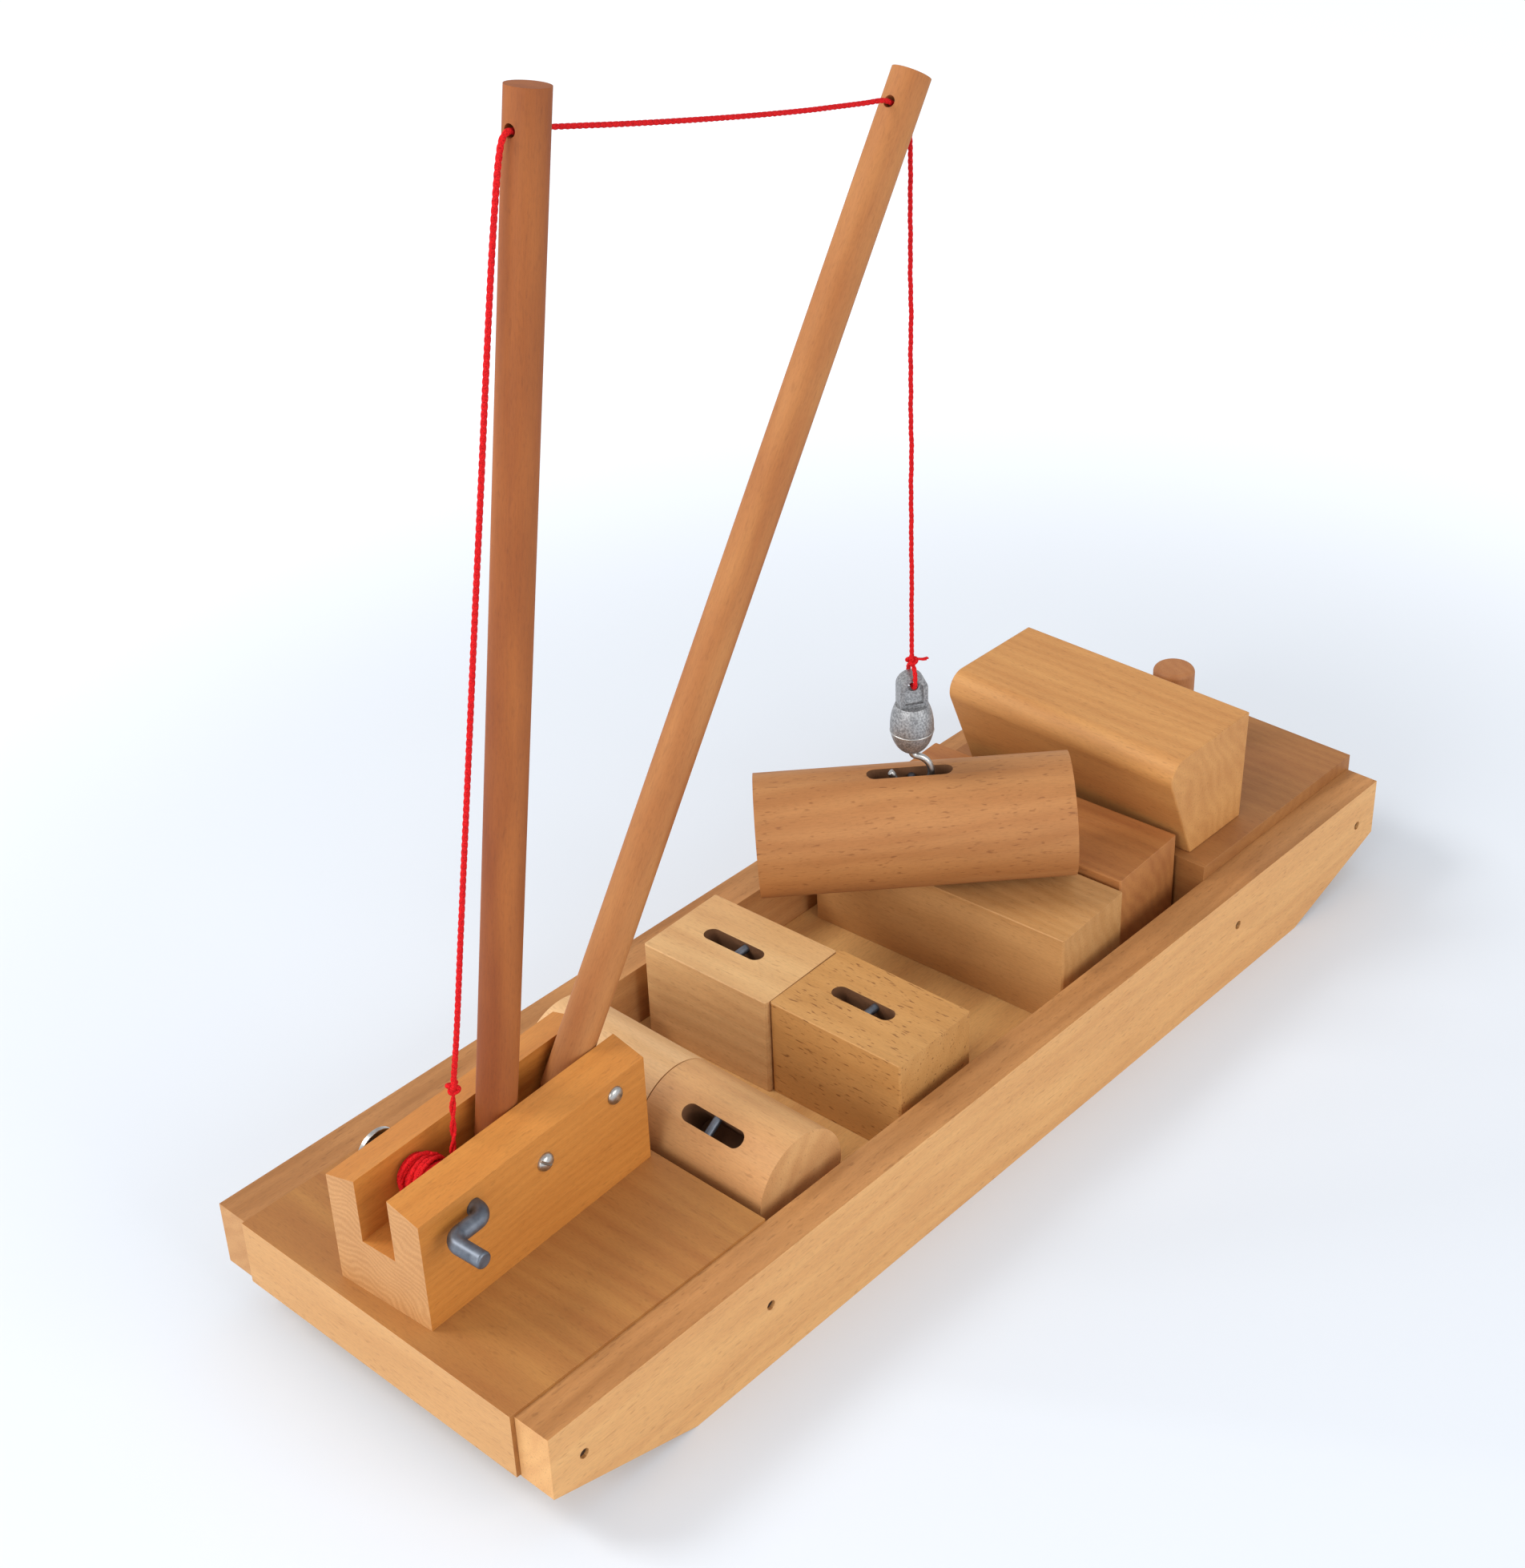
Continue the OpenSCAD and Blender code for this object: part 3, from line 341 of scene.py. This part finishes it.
def beech(name, light, mid, dark, grain=(0, 1, 0), heart=(30, -45, 0), ring=2.6, fleck=0.4, blotch=0.5,
          show=0.3, rough=0.62):
    """Bare beech as solid wood, between a light and a middle tone. The share of the middle tone is
    0.5 + show/2 sin(2 pi |q| / ring) + slow patches, with |q| the distance from the heart line,
    warped by noise. Fibres, pores and dark rays are noise drawn out along the grain."""
    material, tree, shader = finish_of(name, rough)
    turn = Vector(grain).rotation_difference(Vector((0, 0, 1))).to_euler("XYZ")
    where = add(tree, "TexCoord").outputs["Object"]
    q = add(tree, "Mapping", None, {
        "Vector": where, "Scale": (1000, 1000, 1000), "Rotation": turn, "Location": heart}).outputs[0]
    slow = add(tree, "Mapping", None, {"Vector": q, "Scale": (0.05, 0.05, 0.008)}).outputs[0]
    warp = add(tree, "TexNoise", None, {"Vector": slow, "Scale": 1.0, "Detail": 2.0}).outputs["Color"]
    shift = add(tree, "VectorMath", {"operation": "MULTIPLY_ADD"}, {0: warp, 1: (17, 17, 0), 2: q}).outputs[0]
    flat = add(tree, "VectorMath", {"operation": "MULTIPLY"}, {0: shift, 1: (1, 1, 0)}).outputs[0]
    radius = add(tree, "VectorMath", {"operation": "LENGTH"}, {0: flat}).outputs["Value"]
    phase = add(tree, "Math", {"operation": "MULTIPLY"}, {0: radius, 1: 2 * pi / ring}).outputs[0]
    year = add(tree, "Math", {"operation": "SINE"}, {0: phase}).outputs[0]
    rings = add(tree, "Math", {"operation": "MULTIPLY_ADD"}, {0: year, 1: show / 2, 2: 0.5}).outputs[0]
    # Broad patches, redder or paler, some 12 mm wide and 60 mm long
    wide = add(tree, "Mapping", None, {"Vector": q, "Scale": (0.08, 0.08, 0.016)}).outputs[0]
    patch = add(tree, "TexNoise", None, {"Vector": wide, "Scale": 1.0, "Detail": 3.0}).outputs["Fac"]
    uneven = add(tree, "MapRange", None, {0: patch, 1: 0.3, 2: 0.7, 3: -blotch / 2, 4: blotch / 2}).outputs[0]
    share = add(tree, "Math", {"operation": "ADD", "use_clamp": True}, {0: rings, 1: uneven}).outputs[0]
    board = add(tree, "Mix", {"data_type": "RGBA"}, {0: share, 6: linear(light), 7: linear(mid)}).outputs[2]
    # Fibres, 0.4 mm wide and 12 mm long, and short pores, 0.3 mm wide and 2 mm long
    thin = add(tree, "Mapping", None, {"Vector": q, "Scale": (2.2, 2.2, 0.08)}).outputs[0]
    fibre = add(tree, "TexNoise", None, {
        "Vector": thin, "Scale": 1.0, "Detail": 3.0, "Roughness": 0.6}).outputs["Fac"]
    lines = add(tree, "MapRange", None, {0: fibre, 1: 0.3, 2: 0.7, 3: 0.95, 4: 1.05}).outputs[0]
    short = add(tree, "Mapping", None, {"Vector": q, "Scale": (2.6, 2.6, 0.5)}).outputs[0]
    pores = add(tree, "TexNoise", None, {"Vector": short, "Scale": 1.0, "Detail": 2.0}).outputs["Fac"]
    pore = add(tree, "MapRange", None, {0: pores, 1: 0.48, 2: 0.68, 3: 1.0, 4: 0.9}).outputs[0]
    shade = add(tree, "Math", {"operation": "MULTIPLY"}, {0: lines, 1: pore}).outputs[0]
    toned = add(tree, "HueSaturation", None, {"Value": shade, "Color": board}).outputs[0]
    # Rays: dark spindles, 0.5 mm wide and 2.5 mm long, as beech shows on its flat-sawn face
    spots = add(tree, "Mapping", None, {"Vector": q, "Scale": (1.25, 1.25, 0.28)}).outputs[0]
    rays = add(tree, "TexNoise", None, {"Vector": spots, "Scale": 1.0, "Detail": 1.0}).outputs["Fac"]
    ray = add(tree, "MapRange", None, {0: rays, 1: 0.63, 2: 0.74, 3: 0.0, 4: fleck}).outputs[0]
    colour = add(tree, "Mix", {"data_type": "RGBA"}, {0: ray, 6: toned, 7: linear(dark)}).outputs[2]
    tree.links.new(colour, shader.inputs["Base Color"])
    dents = add(tree, "Math", {"operation": "MULTIPLY_ADD"}, {0: ray, 1: -0.6, 2: fibre}).outputs[0]
    bump = add(tree, "Bump", None, {"Strength": 0.12, "Distance": 0.0002, "Height": dents}).outputs[0]
    tree.links.new(bump, shader.inputs["Normal"])
    return material


rail_port = beech("rail_port_beech", "#DFAB6D", "#CD945A", "#9B6735", heart=(10, 60, 0), ring=5.2, fleck=0.35)
rail_far = beech("rail_starboard_beech", "#C89660", "#B27C48", "#8E5C30", heart=(90, 55, 0), ring=4.6, fleck=0.3)
deck_bow = beech("bow_deck_beech", "#B17B3D", "#9D632D", "#79491D", (1, 0, 0), (70, 215, 0), 6.0, 0.25, 0.6)
deck_stern = beech("stern_deck_beech", "#A8723C", "#955E2E", "#76431B", (1, 0, 0), (60, -150, 0), 5.0, 0.25, 0.6)
board = beech("bottom_board_beech", "#E0B06D", "#C38E53", "#966737",
              heart=(5, 150, 0), ring=6.0, fleck=0.2, blotch=0.6)
port_rail = eased("rail_port", "hull", rail_port, 0.5)
far_rail = eased("rail_starboard", "hull", rail_far, 0.5)
bow = eased("bow_block", "hull", deck_bow, 0.5)
eased("stern_block", "hull", deck_stern, 0.5)
eased("bottom_board", "hull", board, 0.3)


def second_wood(obj, material, chosen):
    """Gives a second material to the faces that chosen(n, c, v) picks by their normals n and
    centres c, and the vertices v. A face is set back where max over v of n . v exceeds n . c."""
    mesh = obj.data
    n, c = np.empty(len(mesh.polygons) * 3), np.empty(len(mesh.polygons) * 3)
    v = np.empty(len(mesh.vertices) * 3)
    mesh.polygons.foreach_get("normal", n)
    mesh.polygons.foreach_get("center", c)
    mesh.vertices.foreach_get("co", v)
    mesh.materials.append(material)
    picked = chosen(n.reshape(-1, 3), c.reshape(-1, 3), v.reshape(-1, 3))
    mesh.polygons.foreach_set("material_index", np.ascontiguousarray(picked, np.int32))


# The rails' tops are painted darker than their sides, as painted shade. The bow's face is painted paler than the deck,
# as painted light.
rail_top = beech("rail_top_painted_shade_beech", "#C08850", "#A26C38", "#74481F",
                 heart=(10, 60, 0), ring=5.2, fleck=0.35, blotch=0.8)
# Painted shade: the rails' faces that look up take the darker top wood
for rail in (port_rail, far_rail):
    second_wood(rail, rail_top, lambda n, c, v: n[:, 2] > 0.9)
bow_face = beech("bow_face_painted_light_beech", "#CF9D65", "#C08B53", "#906032", (1, 0, 0), (40, 120, 0), 6.0, 0.3, 0.5)
# Painted light: the bow block's faces that look to the bow take the paler wood
second_wood(bow, bow_face, lambda n, c, v: n[:, 1] < -0.5)

# Wire nails driven below the face and gone dark
nail, tree, shader = finish_of("oxidised_nail_steel", 0.55, 0.7)
where = add(tree, "TexCoord").outputs["Object"]
rust = add(tree, "TexNoise", None, {"Vector": where, "Scale": 900.0, "Detail": 2.0}).outputs["Fac"]
tone = add(tree, "ValToRGB", None, {0: rust})
tone.color_ramp.elements[0].color = linear("#2A1C14")
tone.color_ramp.elements[1].color = linear("#6A5648")
tree.links.new(tone.outputs[0], shader.inputs["Base Color"])
eased("rail_nails", "hull", nail, 0)

# ---------------------------------------------------------------- cabin and funnel
# The cabin is one sawn beech block with a raked, round-nosed front, glued on the stern deck.
# The funnel is a piece of thick dowel with a rounded rim, set in a hole.
cabin_wood = beech("cabin_beech", "#CD9454", "#B87C40", "#8B5526", (1, 0, 0), (-62, 128, 0), 5.0, 0.3, 0.5)
funnel_wood = beech("funnel_beech", "#B47947", "#A36535", "#7C4720", (0, 0, 1), (6, -170, 0), 4.0, 0.25, 0.4)
eased("cabin", "hull", cabin_wood, 0.5)
eased("funnel", "hull", funnel_wood, 0.2)

# ---------------------------------------------------------------- crane
# A grooved beech block on the bow deck, with two stock 12 mm dowels screwed into its groove.
ahead = (-0.057, 0.998, 0)
crane_wood = beech("crane_block_beech", "#CC873A", "#BB742B", "#8D541E", ahead, (2, -100, 0), 3.4, 0.25, 0.5)
mast_wood = beech("mast_beech", "#A15B23", "#864211", "#69320C",
                  (-0.009, 0.163, 0.987), (20, 4, 0), 8.0, 0.2, 0.9, rough=0.7)
boom_wood = beech("boom_beech", "#B87B43", "#A15F2B", "#7C451C",
                  (-0.017, 0.545, 0.838), (-16, 8, 0), 9.0, 0.2, 0.9, rough=0.7)
block = eased("crane_block", "hull", crane_wood, 0.5)
block_end = beech("crane_block_end_beech", "#C8935C", "#B57F4A", "#8A5A2E", ahead, (22, -12, 0), 2.2, 0.2, 0.4, 0.6)
second_wood(block, block_end, lambda n, c, v: n[:, 1] < -0.5)
eased("mast", "hull", mast_wood, 0.35)
eased("boom", "boom", boom_wood, 0.35)

# Zinc-plated round-head screws. The mast's has a slot and stands proud, the boom's is driven home.
plated, tree, shader = finish_of("zinc_plated_steel", 0.28, 1.0)
where = add(tree, "TexCoord").outputs["Object"]
dull = add(tree, "TexNoise", None, {"Vector": where, "Scale": 700.0, "Detail": 3.0}).outputs["Fac"]
tone = add(tree, "ValToRGB", None, {0: dull})
tone.color_ramp.elements[0].color = linear("#8D8B89")
tone.color_ramp.elements[1].color = linear("#D6D4D0")
tree.links.new(tone.outputs[0], shader.inputs["Base Color"])
worn = add(tree, "MapRange", None, {0: dull, 3: 0.2, 4: 0.45}).outputs[0]
tree.links.new(worn, shader.inputs["Roughness"])


def dome_head(along, up, radius, rise, slot, turn):
    """Screw head on the port cheek: out = rise sqrt(1 - (d / R)^2) less the slot's depth where
    |x| < slot / 2, on a grid of x and y = v sqrt(R^2 - x^2), with a flat back."""
    edge, lip = radius * 0.999, 0.03
    if slot:
        x = np.concatenate([np.linspace(-edge, -slot / 2 - lip, 16), [-slot / 2 + lip, slot / 2 - lip],
                            np.linspace(slot / 2 + lip, edge, 16)])
    else:
        x = np.linspace(-edge, edge, 33)
    v = np.linspace(-1, 1, 29)
    gx = np.repeat(x[:, None], 29, 1)
    gy = v[None, :] * np.sqrt(radius ** 2 - gx ** 2)
    out = rise * np.sqrt(np.clip(1 - (gx ** 2 + gy ** 2) / radius ** 2, 0, 1)) ** 0.8
    out = np.where(np.abs(gx) < slot / 2, np.minimum(out, 0.45 * rise), out) if slot else out
    c, s = np.cos(turn), np.sin(turn)
    top = np.stack([18.25 + 0.02 + out, along + gx * c - gy * s, up + gx * s + gy * c], -1)
    low = np.stack([np.full_like(out, 18.15), along + gx * c - gy * s, up + gx * s + gy * c], -1)
    n, m = out.shape
    i = (np.arange(n - 1)[:, None] * m + np.arange(m - 1)).reshape(-1)
    front = np.stack([i, i + 1, i + m + 1, i + m], 1)
    rim = np.concatenate([np.arange(m), np.arange(2, n) * m - 1, [n * m - 1],
                          np.arange(n * m - 2, (n - 1) * m - 1, -1), np.arange((n - 2) * m, 0, -m)])
    wrap = np.stack([rim, np.roll(rim, -1), np.roll(rim, -1) + n * m, rim + n * m], 1)
    verts = on_deck(np.vstack([top.reshape(-1, 3), low.reshape(-1, 3)]))
    return verts, front.tolist() + (front + n * m)[:, ::-1].tolist() + wrap.tolist()


def shank(along, up):
    """Shank of a screw across the block, a straight tube of 3 mm."""
    x = np.linspace(-14.5, 18.2, 12)
    return swept(on_deck(np.stack([x, np.full(12, along), np.full(12, up)], 1)), 0.00148, 16, (0.1, 0.2, 1))


piece("mast_screw_slotted", joined(dome_head(47.9, 28.0, 2.95, 2.0, 0.8, 0.9), shank(47.9, 28.0)),
      plated, "hull", "mast_screw")
piece("boom_screw_domed", joined(dome_head(77.6, 32.4, 2.95, 1.6, 0, 0), shank(77.6, 32.4)),
      plated, "hull", "boom_screw")

# ---------------------------------------------------------------- crank
# A bent steel rod, dull and a little pitted, with a pressed cap pushed on its far end.
rod, tree, shader = finish_of("dull_bent_steel_rod", 0.4, 0.9)
where = add(tree, "TexCoord").outputs["Object"]
pits = add(tree, "TexNoise", None, {"Vector": where, "Scale": 260.0, "Detail": 5.0}).outputs["Fac"]
tone = add(tree, "ValToRGB", None, {0: pits})
tone.color_ramp.elements[0].color = linear("#5C626C")
tone.color_ramp.elements[0].position = 0.35
tone.color_ramp.elements[1].color = linear("#7C828C")
tone.color_ramp.elements[1].position = 0.7
tree.links.new(tone.outputs[0], shader.inputs["Base Color"])
worn = add(tree, "MapRange", None, {0: pits, 3: 0.3, 4: 0.6}).outputs[0]
tree.links.new(worn, shader.inputs["Roughness"])
knocks = add(tree, "Bump", None, {"Strength": 0.12, "Distance": 0.0002, "Height": pits})
tree.links.new(knocks.outputs[0], shader.inputs["Normal"])
eased("crank", "crank", rod, 0.6)
eased("axle_cap", "crank", plated, 0.1)

# ---------------------------------------------------------------- hook
# A cast zinc weight in two halves, with a flat eye above and a bent wire hook below.
cast, tree, shader = finish_of("tumbled_zinc_casting", 0.5, 0.85)
where = add(tree, "TexCoord").outputs["Object"]
grit = add(tree, "TexNoise", None, {"Vector": where, "Scale": 1500.0, "Detail": 4.0}).outputs["Fac"]
tone = add(tree, "ValToRGB", None, {0: grit})
tone.color_ramp.elements[0].color = linear("#7C7C7E")
tone.color_ramp.elements[0].position = 0.35
tone.color_ramp.elements[1].color = linear("#B4B5B6")
tone.color_ramp.elements[1].position = 0.68
tree.links.new(tone.outputs[0], shader.inputs["Base Color"])
matt = add(tree, "Bump", None, {"Strength": 0.25, "Distance": 0.0001, "Height": grit})
tree.links.new(matt.outputs[0], shader.inputs["Normal"])
eased("hook_weight", "hook", cast, 0.35, 30)


def hoop(centre, radius, thick, flat=1.0):
    """Ring about Z: (R + r cos b)(cos a, sin a), r sin b times flat."""
    a = np.linspace(0, 2 * pi, 72, endpoint=False)[:, None]
    b = np.linspace(0, 2 * pi, 10, endpoint=False)[None, :]
    x = (radius + thick * np.cos(b)) * np.cos(a)
    y = (radius + thick * np.cos(b)) * np.sin(a)
    z = thick * flat * np.sin(b) + 0 * a
    verts = np.stack([x, y, z], -1).reshape(-1, 3) + centre
    i, j = np.meshgrid(np.arange(72), np.arange(10), indexing="ij")
    i2, j2 = (i + 1) % 72, (j + 1) % 10
    faces = np.stack([i * 10 + j, i2 * 10 + j, i2 * 10 + j2, i * 10 + j2], -1).reshape(-1, 4)
    return verts, faces.tolist()


# The bright bead where the two halves of the weight meet
seam_z = 0.1115
piece("hook_weight_bead", hoop(hook_at + [0, 0, seam_z], 0.00708, 0.00034), plated, "hook")
eased("hook_wire", "hook", plated, 0.15)

# ---------------------------------------------------------------- cargo
# Six loads in the hold and one on the hook: round logs, crates and long boxes of beech, each
# with a slot across which a steel pin is fixed for the hook to catch.
yaw_log = (0.720, 0.688, 0.087)
load = {
    "long_log": beech("long_log_beech", "#B8804A", "#A06532", "#75411C",
        yaw_log, (40, 30, 0), 7.0, 0.6, 0.5, rough=0.66),
    "short_log_port": beech("short_log_port_beech", "#D9A971", "#C08A56", "#8F5D34",
        (1, 0, 0), (-70, -95, 0), 9.0, 0.3, 0.5),
    "short_log_starboard": beech("short_log_starboard_beech", "#DEB482", "#CC9C66", "#9A6C40",
        (1, 0, 0), (10, -60, 0), 8.0, 0.25, 0.4),
    "crate_port": beech("crate_port_beech", "#C89557", "#B58043", "#78471E",
        (1, 0.04, 0), (-20, -70, 0), 7.0, 0.8, 0.5, 0.2),
    "crate_starboard": beech("crate_starboard_beech", "#DAB079", "#C3935F", "#96683B",
        (1, 0.04, 0), (-90, -30, 0), 6.0, 0.3, 0.5),
    "front_box": beech("front_box_beech", "#C7975F", "#B38048", "#83592F",
        (1, 0.05, 0), (-10, 90, 0), 5.0, 0.3, 0.5),
    "rear_box": beech("rear_box_beech", "#BA7D43", "#A06231", "#74441F",
        (1, 0.05, 0), (-40, 30, 0), 5.0, 0.25, 0.6),
}
# The slots' set-back faces get a dark brown wood, as painted shade inside the recesses
set_back = 0.0006
slot_shade_wood = beech("slot_painted_shade_beech", "#7C5232", "#5E3C22", "#3E2614", ring=4.0, fleck=0.3, rough=0.8)
for node, wood in load.items():
    # Painted shade: faces set back more than 0.6 mm take the dark slot wood
    second_wood(eased(node, node, wood, 0.35), slot_shade_wood,
                lambda n, c, v: (n @ v.T).max(1) - (n * c).sum(1) > set_back)
for node, body in (("long_log_pin", "long_log"), ("short_pin_port", "short_log_port"),
                   ("short_pin_starboard", "short_log_starboard"), ("crate_pin_port", "crate_port"),
                   ("crate_pin_starboard", "crate_starboard"), ("front_box_pin", "front_box"),
                   ("rear_box_pin", "rear_box")):
    eased(node, body, rod, 0)

# ---------------------------------------------------------------- table and light
# A white table top, with soft window light from high on the left, from the bow and from the
# right, and the room's light all round.
paper, tree, shader = finish_of("white_table", 0.9)
shader.inputs["Base Color"].default_value = linear("#D2D8E0")
path = add(tree, "LightPath").outputs
seen = add(tree, "Math", {"operation": "MAXIMUM"}, {
    0: path["Is Camera Ray"], 1: path["Is Glossy Ray"]}).outputs[0]
seen = add(tree, "Math", {"operation": "MAXIMUM"}, {0: seen, 1: path["Is Transmission Ray"]}).outputs[0]
# The table is slightly grey round the boat, and goes to white from 0.28 m to 0.7 m off its middle
where = add(tree, "TexCoord").outputs["Object"]
spread = add(tree, "VectorMath", {"operation": "LENGTH"}, {0: where}).outputs["Value"]
white = add(tree, "MapRange", {"interpolation_type": "SMOOTHSTEP"}, {
    0: spread, 1: 0.28, 2: 0.7, 3: 0.09, 4: 0.42}).outputs[0]
glow = add(tree, "Emission", None, {"Color": (0.98, 0.99, 1.0, 1.0)})
lift = add(tree, "Math", {"operation": "MULTIPLY"}, {0: seen, 1: white}).outputs[0]
tree.links.new(lift, glow.inputs["Strength"])
both = add(tree, "AddShader", None, {0: shader.outputs[0], 1: glow.outputs[0]})
tree.links.new(both.outputs[0], tree.nodes["Material Output"].inputs["Surface"])
mesh = bpy.data.meshes.new("table_top")
mesh.from_pydata([(-6, -6, 0), (6, -6, 0), (6, 6, 0), (-6, 6, 0)], [], [(0, 1, 2, 3)])
mesh.materials.append(paper)
table = bpy.data.objects.new("table_top", mesh)
bpy.context.scene.collection.objects.link(table)

world = bpy.data.worlds.new("room")
bpy.context.scene.world = world
world.use_nodes = True
world.node_tree.nodes["Background"].inputs["Color"].default_value = (0.97, 0.98, 1.0, 1.0)
world.node_tree.nodes["Background"].inputs["Strength"].default_value = 0.7


def window(name, place, target, size, power, colour):
    """A rectangular soft light at place, turned to target."""
    data = bpy.data.lights.new(name, "AREA")
    data.shape = "RECTANGLE"
    data.size, data.size_y = size
    data.energy = power
    data.color = colour
    lamp = bpy.data.objects.new(name, data)
    lamp.location = place
    lamp.rotation_euler = (Vector(target) - Vector(place)).to_track_quat("-Z", "Y").to_euler()
    bpy.context.scene.collection.objects.link(lamp)


window("high_left_window", (-1.2, -1.0, 1.6), (0, 0, 0.05), (0.7, 0.7), 20, (1.0, 0.985, 0.96))
window("right_window", (1.7, 0.1, 0.8), (0, 0.05, 0.05), (1.2, 0.9), 13, (1.0, 0.99, 0.97))
window("bow_window", (0.1, -1.8, 0.7), (0, 0, 0.05), (1.3, 0.9), 16, (1.0, 0.99, 0.97))

bpy.context.scene.view_settings.view_transform = "Standard"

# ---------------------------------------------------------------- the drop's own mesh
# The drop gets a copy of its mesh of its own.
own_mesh(drop)
